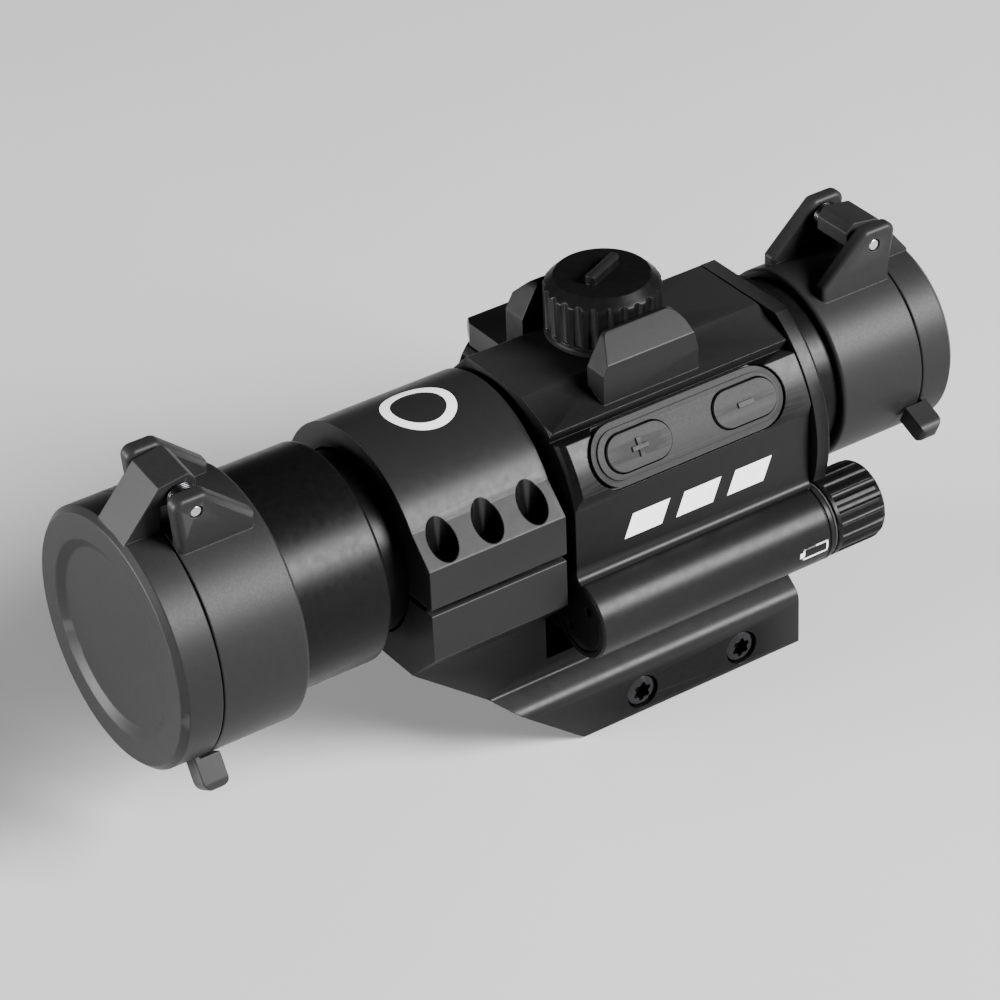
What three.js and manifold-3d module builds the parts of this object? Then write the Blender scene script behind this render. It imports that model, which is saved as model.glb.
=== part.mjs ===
// Tube sight (non-magnifying collimating sight) with flip-open lens caps, side battery tube,
// rubber brightness keys and a cantilever clamp base for an accessory rail.
// Millimetres. +X points along the line of sight towards the eye, -X to the target, +Z up.
// The origin is on the flat rail seat, midway between the two clamp screws.

import * as THREE from "three";
import { mergeVertices } from "three/addons/utils/BufferGeometryUtils.js";
import Module from "manifold-3d";

const wasm = await Module();
wasm.setup();

// ---------- driving dimensions ----------
const axisHeight = 36; // optical axis above the rail seat
const gap = 0.3; // clearance between neighbouring pieces
const round = 40; // facets on a large turned surface
const fine = 16; // facets on a small turned surface
const coarse = 12; // facets on a pin or a hidden rod
const past = 1; // how far a cutting tool runs past the face it opens
const wide = 30; // half width of a tool that crosses the whole part

const tube = { outer: 15, bore: 12.7, front: -87.8, rear: 48.8 }; // 30 mm main tube
const bell = { outer: 18.2, rear: -55.9, bore: 16.2, boreEnd: -72, edge: 0.6, chamfer: 0.8 };
const eyepiece = { seat: 13.6, shoulder: 42 };
const drum = {
  radius: 23.5, front: -24.4, rear: 21.2, flat: 19.9, nearHalf: 8.2, farHalf: 6.8, side: 21.7,
};
const sideFace = { top: 5.1, bottom: -9 }; // heights of the near flat from the optical axis
const facetEdge = { y: -15.8, z: 16.7, step: 1.9, lip: 0.7 }; // outer edge of the near top facet
const land = { radius: 17.4, chamfer: 0.8, end: 28.4 }; // step of the tube behind the drum
const collar = { front: 21.5, rear: 24.2, radius: 23.45 };
const turretX = -2.9;
const turret = {
  cap: 9.4, top: 7.7, base: 20.2, shoulder: 28.7, height: 30.4, scallops: 24, flute: 0.95,
  hollow: 7.2, ceiling: 25.5, well: 6, wellFloor: 11,
};
const blade = { half: 4.2, root: 1.1, tip: 0.8, rise: 1.5, turn: 24 };
const dial = { foot: 15.2, body: 5.2, flangeFoot: 19, flange: 5.7, top: 22.5, stem: 1.5, slot: 0.5 };
const guard = { front: -13.5, rear: 4.8, root: 13.4, top: 27.6, clear: 10.3 };
const nearCheek = { sign: -1, outer: 14.6, knee: 23.9, lip: 10.8, inner: 10.4 };
const farCheek = { sign: 1, outer: 11.6, knee: 24.9, lip: 8.9, inner: 7 };
const battery = { y: -21.9, z: -14.2, tube: 6.8, bore: 5.45, cell: 5.15, from: -20, to: 23.5 };
const batteryEnd = { front: -24.4, rear: 21.4, capFrom: 22, capTo: 32.3, cap: 6.7, neck: 6, ribs: 20 };
const plug = { radius: 5.5, seat: 5.8, hole: 0.75, holeY: 2.4, holeZ: 2.6 };
const ring = {
  front: -51.1, rear: -25.9, radius: 19.5, side: 21.3, shoulder: 5.2, browY: 13.9, browZ: 12.9,
  split: -2.3, slot: 0.5, foot: -11.2, edge: 0.5,
};
const ringScrew = {
  y: 18.5, pitch: 8.3, shank: 1.4, head: 2.1, counterbore: 2.45, seat: 2, tip: -9.5, socket: 1.15,
};
const base = {
  rear: 21.9, waist: 14.9, neck: 6.2, waistFoot: 7.9, side: 18.5, shelf: 5.1, bottom: -4.6,
  top: 10.9, slope: 1.28, edge: 3,
};
const clampScrew = { half: 10, z: -0.6, shank: 2.4, head: 2.75, counterbore: 3, depth: 3 };
const rail = { top: 8.3, widest: 10.9, lip: 9.1, widestZ: -2.75 };
const jaw = { front: -19, rear: 20.9, top: 3.5 };
const frontCap = {
  name: "front", side: -1, radius: 21.3, bore: 18.4, face: -94.9, seam: -88, end: -72.7,
  pinX: -85, pinZ: 63.2, clock: 9.5, tab: 140.5, recess: 16.2, window: 18.8,
};
const rearCap = {
  name: "rear", side: 1, radius: 16.5, bore: 15.2, face: 55.7, seam: 49, end: 32.5,
  pinX: 45.3, pinZ: 57.7, clock: 0, tab: 114, recess: 12.6, window: 15.4,
};
const hinge = {
  pin: 0.95, half: 7.9, earIn: 5.2, earOut: 8, knuckle: 2.6, near: 3, far: 4.6, tabHalf: 1.75,
};
const pad = { from: -20, to: 17.2, angle: 150, half: 5.4, deep: 2.6 };
const key = { half: 3.3, length: 12.6, plusX: -11.2, minusX: 9.3, proud: 0.45, root: 2.9 };
const mark = { long: 1.5, thin: 0.35, proud: 0.3 };
const panel = { front: -17, rear: 15, half: 4, floor: 15.7, top: 16.5 }; // control board

// ---------- finishes ----------
const finish = (color, roughness, metalness) => () =>
  new THREE.MeshStandardMaterial({ color, roughness, metalness });
const anodised = finish(0x2b2b2c, 0.5, 0.7);
const darkPlastic = finish(0x2e2e2f, 0.6, 0);
const rubber = finish(0x4a4a4a, 0.8, 0);
const steel = finish(0x8a8a8c, 0.35, 1);
const brass = finish(0xb89a55, 0.35, 1);
const glass = finish(0x88a0b8, 0.05, 0);
const board = finish(0x1f5a34, 0.6, 0);
const cellFoil = finish(0x9c9ca0, 0.4, 0.6);

// ---------- solids ----------
// A closed three.js geometry as a solid with its faces pointing out.
function solid(geometry) {
  const bare = geometry.index ? geometry.toNonIndexed() : geometry;
  for (const extra of ["normal", "uv"]) bare.deleteAttribute(extra);
  const merged = mergeVertices(bare, 1e-4);
  const triVerts = new Uint32Array(merged.index.array);
  const make = () =>
    new wasm.Manifold(
      new wasm.Mesh({ numProp: 3, vertProperties: merged.attributes.position.array, triVerts }),
    );
  const made = make();
  if (made.volume() > 0) return made;
  for (let i = 0; i < triVerts.length; i += 3) {
    [triVerts[i + 1], triVerts[i + 2]] = [triVerts[i + 2], triVerts[i + 1]];
  }
  return make();
}

// An outline from corner points [a, b, radius]: a corner with a radius becomes an arc.
function outline(corners, steps = 3) {
  const points = [];
  corners.forEach(([a, b, radius = 0], i) => {
    const corner = new THREE.Vector2(a, b);
    if (!radius) {
      points.push(corner);
      return;
    }
    const before = corners[(i + corners.length - 1) % corners.length];
    const after = corners[(i + 1) % corners.length];
    const back = new THREE.Vector2(before[0] - a, before[1] - b).normalize();
    const on = new THREE.Vector2(after[0] - a, after[1] - b).normalize();
    const halfAngle = Math.acos(THREE.MathUtils.clamp(back.dot(on), -1, 1)) / 2;
    const reach = radius / Math.tan(halfAngle);
    const start = corner.clone().addScaledVector(back, reach);
    const end = corner.clone().addScaledVector(on, reach);
    const curve = new THREE.QuadraticBezierCurve(start, corner, end);
    points.push(...curve.getPoints(steps));
  });
  return new THREE.Shape(points);
}

// How an outline's two coordinates and the run along the axis land in the part's frame.
const lay = {
  x: new THREE.Matrix4().set(0, 0, 1, 0, 1, 0, 0, 0, 0, 1, 0, 0, 0, 0, 0, 1),
  y: new THREE.Matrix4().set(1, 0, 0, 0, 0, 0, 1, 0, 0, 1, 0, 0, 0, 0, 0, 1),
  z: new THREE.Matrix4(),
};

// A prism along an axis: its outline is (y, z) for x, (x, z) for y and (x, y) for z.
function prism(axis, shape, from, to) {
  const geometry = new THREE.ExtrudeGeometry(shape, {
    depth: to - from, bevelEnabled: false, curveSegments: 6,
  });
  geometry.translate(0, 0, from);
  return solid(geometry.applyMatrix4(lay[axis]));
}

// A turned piece from a closed profile of [along, radius] about an axis through `at`.
function turned(axis, profile, at, segments = round) {
  const points = profile.map(([along, radius]) => new THREE.Vector2(radius, along));
  points.push(points[0].clone());
  const geometry = new THREE.LatheGeometry(points, segments);
  geometry.rotateX(Math.PI / 2);
  geometry.applyMatrix4(lay[axis]);
  geometry.translate(...at);
  return solid(geometry);
}

const rod = (axis, radius, from, to, at, segments = fine) =>
  turned(axis, [[from, 0], [from, radius], [to, radius], [to, 0]], at, segments);

const sleeve = (axis, inner, outer, from, to, at, segments = fine) =>
  turned(axis, [[from, inner], [from, outer], [to, outer], [to, inner]], at, segments);

function block(x, y, z) {
  const geometry = new THREE.BoxGeometry(x[1] - x[0], y[1] - y[0], z[1] - z[0]);
  geometry.translate((x[0] + x[1]) / 2, (y[0] + y[1]) / 2, (z[0] + z[1]) / 2);
  return solid(geometry);
}

const inOrder = (a, b) => [Math.min(a, b), Math.max(a, b)];
const join = (...pieces) => pieces.reduce((all, piece) => all.add(piece));
const cut = (body, ...tools) => tools.reduce((left, tool) => left.subtract(tool), body);

const part = new THREE.Group();

function addPart(name, shape, material) {
  const { numProp, numVert, vertProperties, triVerts } = shape.getMesh();
  const positions = new Float32Array(numVert * 3);
  for (let i = 0; i < numVert; i += 1) {
    positions.set(vertProperties.subarray(i * numProp, i * numProp + 3), i * 3);
  }
  const geometry = new THREE.BufferGeometry();
  geometry.setAttribute("position", new THREE.BufferAttribute(positions, 3));
  geometry.setIndex(new THREE.BufferAttribute(triVerts, 1));
  geometry.computeVertexNormals();
  const mesh = new THREE.Mesh(geometry, material());
  mesh.name = name;
  part.add(mesh);
}

const onAxis = [0, 0, axisHeight];
const onBattery = [0, battery.y, axisHeight + battery.z];
const up = (z) => axisHeight + z;

// ---------- turret housing ----------
// Section of the drum: flat top and far side, a chamfer between them, a shallow near facet
// with a step below its edge, and a flat near side.
function drumSection() {
  const { radius, flat, nearHalf, farHalf, side } = drum;
  const arc = (from, to, steps) =>
    Array.from({ length: steps + 1 }, (_, i) => {
      const angle = THREE.MathUtils.degToRad(from + ((to - from) * i) / steps);
      return [radius * Math.cos(angle), up(radius * Math.sin(angle))];
    });
  return outline([
    [-nearHalf, up(flat)],
    [farHalf, up(flat), 0.8],
    [flat, up(farHalf), 0.8],
    ...arc(-32, -157, 22),
    [-side, up(sideFace.bottom)],
    [-side, up(sideFace.top), 2],
    ...arc(160.5, 139.5, 5),
    [facetEdge.y + facetEdge.lip, up(facetEdge.z - facetEdge.step)],
    [facetEdge.y, up(facetEdge.z)],
  ]);
}

// The two cheeks that shield a turret cap, drawn for the top turret and laid on the far side
// for the other one.
function cheeks(place) {
  const { front, rear, root, top, clear } = guard;
  const cheek = ({ sign, outer, knee, lip, inner }) => prism("x", outline([
    [sign * outer, up(root)], [sign * outer, up(knee), 0.6], [sign * lip, up(top), 0.6],
    [sign * inner, up(top)], [sign * inner, up(root)],
  ]), front, rear);
  const knee = up(nearCheek.knee);
  const profile = outline([
    [front, up(root - past)], [front, knee - 1.5], [front + 3, up(top + 0.1), 2],
    [rear - 1.6, up(top + 0.1), 3.5], [rear, knee - 3, 2], [rear, up(root - past)],
  ]);
  const trim = prism("y", profile, -wide, wide);
  const well = rod("z", clear, up(drum.flat), up(top + past), [turretX, 0, 0], round);
  return place(cut(join(cheek(nearCheek), cheek(farCheek)).intersect(trim), well));
}
const onTop = (shape) => shape;
const turnAbout = (shape, angle) =>
  shape.translate([0, 0, -axisHeight]).rotate([angle, 0, 0]).translate([0, 0, axisHeight]);
const onFarSide = (shape) => turnAbout(shape, -90);

// Lays what is drawn upright over the optical axis on the near flank, at the keys' angle.
const stand = (shape) => shape.rotate([pad.angle - 90, 0, 0]).translate([0, 0, axisHeight]);

// An obround along X on the near flank, between two distances from the optical axis.
function obround(fromX, toX, half, inner, outer) {
  const shape = new THREE.Shape();
  shape.absarc(fromX + half, 0, half, Math.PI / 2, Math.PI * 1.5, false);
  shape.absarc(toX - half, 0, half, -Math.PI / 2, Math.PI / 2, false);
  shape.closePath();
  return stand(prism("z", shape, inner, outer));
}

const flank = rod("x", drum.radius, drum.front, collar.rear, onAxis, round);
const padRecess = obround(pad.from - 0.5, pad.to, pad.half, drum.radius - pad.deep, drum.radius + 3);
const boardWell = stand(block(
  [panel.front - 0.5, panel.rear + 0.5], [-panel.half - gap, panel.half + gap],
  [panel.floor - gap, drum.radius - 1.5],
));

function mainHousing() {
  const shell = turned("x", [
    [tube.front, bell.bore], [tube.front, bell.outer - bell.edge],
    [tube.front + bell.edge, bell.outer], [bell.rear - bell.chamfer, bell.outer],
    [bell.rear, bell.outer - bell.chamfer], [bell.rear, tube.outer],
    [drum.front + past, tube.outer], [drum.front + past, land.radius],
    [land.end - land.chamfer, land.radius], [land.end, land.radius - land.chamfer],
    [land.end, tube.outer], [tube.rear, tube.outer], [tube.rear, eyepiece.seat],
    [eyepiece.shoulder, eyepiece.seat], [eyepiece.shoulder, tube.bore],
    [bell.boreEnd, tube.bore], [bell.boreEnd, bell.bore],
  ], onAxis);
  const roundedFront = turned("x", [
    [drum.front, 0], [drum.front, 22.2], [drum.front + 0.5, 22.9], [drum.front + 1.2, 23.3],
    [drum.front + 2, 26], [drum.rear, 26], [drum.rear, 0],
  ], onAxis);
  const drumBody = prism("x", drumSection(), drum.front, drum.rear).intersect(roundedFront);
  const { front, rear } = batteryEnd;
  const holder = rod("x", battery.tube, front, rear, onBattery, round - fine);
  const web = block([front, drum.rear], [-drum.side, -14], [up(-19), up(-5)]);
  const bore = rod("x", tube.bore, drum.front - past, land.end, onAxis, round);
  const cellBore = rod("x", battery.bore, front - past, rear + past, onBattery);
  const capSeat = rod("x", batteryEnd.neck + 0.25, rear - 3, rear + past, onBattery, round - fine);
  const plugSeat = rod("x", plug.seat, front - past, front + 2.2, onBattery);
  const topWell = rod("z", turret.well, up(turret.wellFloor), up(22), [turretX, 0, 0]);
  return cut(
    join(shell, drumBody, holder, web, cheeks(onTop), cheeks(onFarSide)),
    bore, cellBore, plugSeat, capSeat, topWell, onFarSide(topWell), padRecess, boardWell,
  );
}
addPart("main_housing", mainHousing(), anodised);

const behindDrum = [collar.front - past, collar.rear + past];
const rearCollar = cut(
  rod("x", collar.radius, collar.front, collar.rear, onAxis, round)
    .intersect(block(behindDrum, [-wide, drum.flat], [up(-wide), up(drum.flat)])),
  rod("x", land.radius + gap, ...behindDrum, onAxis, round),
  block(behindDrum, [-25, -10], [up(-20), up(-9.5)]),
  rod("x", battery.tube + 0.5, ...behindDrum, onBattery),
);
addPart("rear_collar", rearCollar, anodised);

// ---------- optics ----------
function lens(x, radius, middle, bulge) {
  const steps = 6;
  const face = (sign) =>
    Array.from({ length: steps + 1 }, (_, i) => {
      const r = (radius * i) / steps;
      return [x + sign * (middle / 2 - (bulge * r * r) / (radius * radius)), r];
    });
  return turned("x", [...face(-1), ...face(1).reverse()], onAxis, round - fine);
}
addPart("objective_lens", lens(-80, 15.7, 5, 1.2), glass);
addPart("objective_retainer", sleeve("x", 13.6, 15.9, -86, -83, onAxis, round - fine), anodised);
addPart("objective_seal", sleeve("x", 14.4, 15.9, -76.9, -75.7, onAxis, round - fine), rubber);
addPart("eyepiece_lens", lens(45.2, 13.2, 3, 0.4), glass);
addPart("eyepiece_retainer", sleeve("x", 11.4, 13.3, 46.9, 48.5, onAxis, round - fine), anodised);

addPart("gimbal_ring", sleeve("x", 10.5, 12.4, 33.5, 36.5, onAxis, round - fine), brass);
addPart("inner_tube", sleeve("x", 9.2, 10.2, -22, 38, onAxis, round - fine), anodised);
addPart("emitter_holder", cut(
  block([29, 32], [-1.6, 1.6], [up(-8.4), up(-3.2)]), rod("x", 1, 28, 33, [0, 0, up(-5)], coarse),
), anodised);
addPart("led_emitter", rod("x", 0.7, 28.4, 32.4, [0, 0, up(-5)], coarse), brass);
addPart("centring_spring", prism("x", outline([
  [-8.2, up(-8.9)], [-7.6, up(-8.3)], [-8.1, up(-7.9)], [-8.9, up(-8.4)],
]), -12, 6), steel);

// ---------- turrets ----------
// One adjuster and its cap, drawn about +Z from the optical axis's height.
function adjuster(place) {
  const { foot, body, flangeFoot, flange, top } = dial;
  const at = [turretX, 0, axisHeight];
  const knob = turned("z", [
    [foot, 0], [foot, body], [flangeFoot, body], [flangeFoot, flange], [top, flange], [top, 0],
  ], at);
  const stem = rod("z", dial.stem, turret.wellFloor, foot + 0.2, at, coarse);
  const slot = block(
    [turretX - dial.slot, turretX + dial.slot], [-4.4, 4.4], [up(top - 0.9), up(top + past)],
  );
  return place(cut(join(knob, stem), slot));
}

function turretCap(place) {
  const { cap, top, base: foot, shoulder, height, scallops, flute } = turret;
  const at = [turretX, 0, axisHeight];
  const outer = turned("z", [
    [foot, 0], [foot, cap], [shoulder, cap], [height, top], [height, 0],
  ], at, scallops * 2);
  const reach = cap + 0.55;
  const flutes = Array.from({ length: scallops }, (_, i) => {
    const angle = (2 * Math.PI * i) / scallops;
    const centre = [turretX + reach * Math.cos(angle), reach * Math.sin(angle), axisHeight];
    return rod("z", flute, foot + 1.2, height + past, centre, 6);
  });
  const hollow = rod("z", turret.hollow, foot - past, turret.ceiling, at);
  const ridge = prism("x", outline([
    [-blade.root, up(height - 0.5)], [-blade.tip, up(height + blade.rise), 0.4],
    [blade.tip, up(height + blade.rise), 0.4], [blade.root, up(height - 0.5)],
  ]), -blade.half, blade.half).rotate([0, 0, blade.turn]).translate([turretX, 0, 0]);
  return place(cut(join(outer, ridge), hollow, ...flutes));
}
const capSeal = (place) =>
  place(sleeve("z", 6.1, 7, turret.base + 0.1, 21.3, [turretX, 0, axisHeight]));

for (const [name, place] of [["elevation", onTop], ["windage", onFarSide]]) {
  addPart(`${name}_adjuster`, adjuster(place), brass);
  addPart(`${name}_cap`, turretCap(place), anodised);
  addPart(`${name}_cap_seal`, capSeal(place), rubber);
}

// ---------- keys and electronics ----------
const padSkin = obround(
  pad.from + gap, pad.to - gap, pad.half - gap, drum.radius - pad.deep + gap, drum.radius + 3,
).intersect(flank);
const keyHole = (x) =>
  obround(x - key.length / 2, x + key.length / 2, key.half, drum.radius - 5, drum.radius + 3);
addPart("key_pad", cut(padSkin, keyHole(key.plusX), keyHole(key.minusX)), rubber);

const keyCrown = rod("x", drum.radius + key.proud, drum.front, collar.rear, onAxis, round);
function pressKey(x, marks) {
  const half = key.half - gap;
  const length = key.length / 2 - gap;
  const cap = obround(x - length, x + length, half, drum.radius - key.root, drum.radius + 3)
    .intersect(keyCrown);
  return join(cap, ...marks);
}
const markRadius = drum.radius + key.proud + mark.proud;
const markCrown = rod("x", markRadius, drum.front, collar.rear, onAxis, round);
const bar = (x, halfX, halfAcross) =>
  stand(block([x - halfX, x + halfX], [-halfAcross, halfAcross], [drum.radius - 2, drum.radius + 3]))
    .intersect(markCrown);
const across = (x) => bar(x, mark.long, mark.thin);
const upright = (x) => bar(x, mark.thin, mark.long);
addPart("plus_key", pressKey(key.plusX, [across(key.plusX), upright(key.plusX)]), rubber);
addPart("minus_key", pressKey(key.minusX, [across(key.minusX)]), rubber);

addPart("control_board", stand(block(
  [panel.front, panel.rear], [-panel.half, panel.half], [panel.floor, panel.top],
)), board);
for (const [name, x] of [["plus_switch", key.plusX], ["minus_switch", key.minusX]]) {
  const can = block([x - 1.9, x + 1.9], [-1.9, 1.9], [panel.top + gap, 19]);
  addPart(name, stand(join(can, rod("z", 0.9, 18.8, 19.9, [x, 0, 0], coarse))), steel);
}

// ---------- battery ----------
const plugHole = (sign) => rod(
  "x", plug.hole, batteryEnd.front - past, batteryEnd.front + 1.2,
  [0, battery.y - sign * plug.holeY, up(battery.z) + sign * plug.holeZ], coarse,
);
addPart("battery_front_plug", cut(
  rod("x", plug.radius, batteryEnd.front + 0.1, batteryEnd.front + 1.9, onBattery),
  plugHole(-1), plugHole(1),
), anodised);
addPart("front_contact", rod("x", 3, -22.1, -21.5, onBattery), brass);
const cell = join(
  rod("x", battery.cell, battery.from, battery.to, onBattery),
  rod("x", 1.9, battery.from - 0.9, battery.from + 1, onBattery, coarse),
);
addPart("battery_cell", cell, cellFoil);
addPart("battery_spring", sleeve("x", 2.2, 3, battery.to + gap, 30.6, onBattery, coarse), steel);
addPart("battery_cap_seal", sleeve("x", 6.1, 6.6, 21.55, 21.85, onBattery, round - fine), rubber);

function batteryCap() {
  const { rear, capFrom, capTo, cap, ribs } = batteryEnd;
  const outer = turned("x", [
    [capFrom, 0], [capFrom, cap - 0.4], [capFrom + 0.4, cap], [capTo - 1.4, cap],
    [capTo - 0.4, cap - 0.7], [capTo, cap - 1.9], [capTo, 0],
  ], onBattery, round);
  const neck = rod("x", batteryEnd.neck, rear - 2.6, capFrom + 1, onBattery);
  const reach = cap + 0.35;
  const grooves = Array.from({ length: ribs }, (_, i) => {
    const angle = (2 * Math.PI * i) / ribs;
    const at = [0, battery.y + reach * Math.cos(angle), up(battery.z + reach * Math.sin(angle))];
    return rod("x", 0.75, capFrom + 0.9, capTo + past, at, 6);
  });
  const cellRoom = rod("x", battery.bore, rear - 4, 24.4, onBattery);
  const springRoom = rod("x", 3.6, rear - 4, 30.9, onBattery);
  return cut(join(outer, neck), cellRoom, springRoom, ...grooves);
}
addPart("battery_cap", batteryCap(), anodised);

// ---------- clamp ring and base ----------
const middle = (ring.front + ring.rear) / 2;
const ringLong = [ring.front - past, ring.rear + past];
const tubeRoom = rod("x", tube.outer + gap, ...ringLong, onAxis, round);
const screwAt = [-1, 0, 1].flatMap((step) =>
  [-1, 1].map((sign) => [middle + step * ringScrew.pitch, sign * ringScrew.y]),
);

function ringCap() {
  const { side, shoulder, browY, browZ, edge, front, rear, radius } = ring;
  const foot = up(ring.split + ring.slot);
  const shoulders = outline([
    [-side, foot], [-side, up(shoulder), edge], [-browY, up(browZ)], [0, up(tube.outer)],
    [browY, up(browZ)], [side, up(shoulder), edge], [side, foot],
  ]);
  const crown = rod("x", radius, front, rear, onAxis, round)
    .intersect(block(ringLong, [-wide, wide], [axisHeight, up(wide)]));
  const holes = screwAt.map(([x, y]) => join(
    rod("z", ringScrew.shank + 0.25, foot - past, up(shoulder), [x, y, 0], 8),
    rod("z", ringScrew.counterbore, up(ringScrew.seat), up(radius), [x, y, 0], coarse),
  ));
  return cut(join(prism("x", shoulders, front, rear), crown), tubeRoom, ...holes);
}
addPart("ring_cap", ringCap(), anodised);

screwAt.forEach(([x, y], i) => {
  const seat = ringScrew.seat + 0.1;
  const head = rod("z", ringScrew.head, up(seat), up(seat + 2.2), [x, y, 0], coarse);
  const shank = rod("z", ringScrew.shank, up(ringScrew.tip), up(seat + 0.5), [x, y, 0], 8);
  const socket = rod("z", ringScrew.socket, up(seat + 0.9), up(seat + 3), [x, y, 0], 6);
  addPart(`ring_screw_${i + 1}`, cut(join(head, shank), socket), steel);
});

// The front of the base slopes down and back from the foot of the ring.
const waistTop = up(ring.foot - base.neck);
const slopeReach = base.slope * (waistTop + 10);
const slopeCut = prism("y", outline([
  [ring.front - 5, waistTop], [ring.front, waistTop], [ring.front + slopeReach, -10],
  [ring.front - 5, -10],
]), -wide, wide);
const underside = base.bottom - past;
const railRoom = outline([
  [-rail.top, 0], [-rail.widest, rail.widestZ], [-rail.lip, underside], [wide, underside], [wide, 0],
]);
const screwX = [-clampScrew.half, clampScrew.half];

function mountBase() {
  const { waist, waistFoot, side, shelf, bottom, edge } = base;
  const top = up(ring.split - ring.slot);
  const foot = up(ring.foot);
  const lowerRing = prism("x", outline([
    [-ring.side, top], [-ring.side, foot, ring.edge], [-waist, waistTop],
    [waist, waistTop], [ring.side, foot, ring.edge], [ring.side, top],
  ]), ring.front, ring.rear);
  const body = prism("x", outline([
    [-waist, waistTop + 0.2], [-waist, waistFoot], [-side, shelf, edge], [-side, bottom, 0.5],
    [side, bottom], [side, shelf, edge], [waist, waistFoot], [waist, waistTop + 0.2],
  ]), ring.front, base.rear);
  const underDrum = block([ring.rear - 0.1, base.rear + past], [-wide, wide], [base.top, up(4)]);
  const tail = prism("y", outline([
    [base.rear - 2.2, base.top + 0.1], [base.rear + 0.1, 9.2], [base.rear + 0.1, base.top + past],
  ]), -wide, wide);
  const nearHoles = screwX.map((x) => join(
    rod("y", clampScrew.shank + 0.25, -side - past, wide, [x, 0, clampScrew.z], 20),
    rod("y", clampScrew.counterbore, -side - past, -side + clampScrew.depth, [x, 0, clampScrew.z]),
  ));
  const ringHoles = screwAt.map(([x, y]) =>
    rod("z", ringScrew.shank + 0.1, up(-10), axisHeight, [x, y, 0], 8));
  const whole = [ring.front - past, base.rear + past];
  const jawRoom = block(whole, [rail.top, wide], [-10, jaw.top]);
  return cut(
    join(lowerRing, body), tubeRoom, underDrum, tail, slopeCut, prism("x", railRoom, ...whole),
    jawRoom, ...nearHoles, ...ringHoles,
  );
}
addPart("mount_base", mountBase(), anodised);

function clampJaw() {
  const top = jaw.top - gap;
  const section = outline([
    [rail.top + 0.4, top], [rail.top + 0.4, 0.1], [rail.widest + gap, rail.widestZ],
    [rail.lip + 0.2, base.bottom], [base.side, base.bottom, 0.5], [base.side, top, 0.5],
  ]);
  const holes = screwX.map((x) =>
    rod("y", clampScrew.shank + 0.1, rail.top - past, wide, [x, 0, clampScrew.z], 20));
  return cut(prism("x", section, jaw.front, jaw.rear), ...holes);
}
addPart("clamp_jaw", clampJaw(), anodised);

screwX.forEach((x, i) => {
  const { shank, head, depth, z } = clampScrew;
  const seat = -base.side + depth;
  const face = -base.side + 0.1;
  const headShape = turned("y", [
    [seat - 0.1, 0], [seat - 0.1, head], [face + 0.5, head], [face, head - 0.5], [face, 0],
  ], [x, 0, z], fine);
  const shankShape = rod("y", shank, seat - 0.5, base.side + 1.5, [x, 0, z], 20);
  const socket = rod("y", 1.5, face - past, face + 1.9, [x, 0, z], 6);
  addPart(`clamp_screw_${i + 1}`, cut(join(headShape, shankShape), socket), steel);
});

// ---------- flip-open lens caps ----------
// Each cap is drawn with its hinge on top, then turned about the optical axis by its clocking.
// Ear and tongue outlines are [outward, up] from the hinge pin, laid on the cap's own end.
function lensCap(cap) {
  const { name, side, radius, bore, face, seam, end, pinX, pinZ, recess, window } = cap;
  const outward = (corners) =>
    outline(corners.map(([out, z, r]) => [pinX + side * out, pinZ + z, r]));
  const pinLine = [pinX, 0, pinZ];
  const clocked = (shape) => turnAbout(shape, cap.clock);
  const lift = axisHeight + radius - pinZ;
  const outer = side * (face - pinX);
  const inner = side * (seam - pinX);
  const lidSpan = inOrder(side * hinge.near, -side * hinge.far);
  const springSpan = inOrder(side * (hinge.near + 0.2), side * (hinge.earIn - 0.2));
  const pinHole = rod("y", hinge.pin + 0.15, -hinge.earOut - past, hinge.earOut + past, pinLine);

  const tubeSleeve = turned("x", [
    [seam - side * gap, bore], [seam - side * gap, radius], [end + side * 2, radius],
    [end + side * 0.5, radius - 0.6], [end, radius - 1.6], [end, bore],
  ], onAxis);
  const ear = outward([
    [inner - gap, lift - 3.2], [inner - gap, lift + 0.4], [inner + 1, 2.9, 1.6], [-1.6, 2.9, 1.4],
    [-10.4, -4.9, 0.9], [-10.4, lift - 3.2],
  ]);
  const ears = [-1, 1].map((sign) =>
    prism("y", ear, ...inOrder(sign * hinge.earIn, sign * hinge.earOut)));
  const inside = rod("x", bore, Math.min(seam, end) - 2, Math.max(seam, end) + 2, onAxis, round);
  addPart(`${name}_cap_sleeve`,
    clocked(cut(join(tubeSleeve, ...ears), inside, pinHole)), darkPlastic);

  const skirt = turned("x", [
    [face - side, 0], [face - side, recess - 1.4], [face, recess],
    [face, radius - 1.2], [face - side * 0.9, radius], [seam, radius], [seam, window],
    [face - side * 3, window], [face - side * 3, 0],
  ], onAxis);
  const tongue = prism("y", outward([
    [outer - 0.7, lift - 1.2], [outer - 0.7, lift - 0.3], [3.4, 2.3, 0.4], [-1.6, 3.1, 0.8],
    [-3, 1.6], [-3, -0.8], [0, -1.4], [inner, -1.4], [inner, lift - 1.2],
  ]), ...lidSpan);
  const knuckle = rod("y", hinge.knuckle, ...lidSpan, pinLine, round - fine);
  addPart(`${name}_lid`,
    clocked(cut(join(skirt, tongue, knuckle, tabShape(cap)), pinHole)), darkPlastic);

  addPart(`${name}_hinge_pin`,
    clocked(rod("y", hinge.pin, -hinge.half, hinge.half, pinLine)), steel);
  addPart(`${name}_lid_spring`,
    clocked(sleeve("y", 1.3, 2.6, ...springSpan, pinLine, 20)), steel);
}

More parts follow.
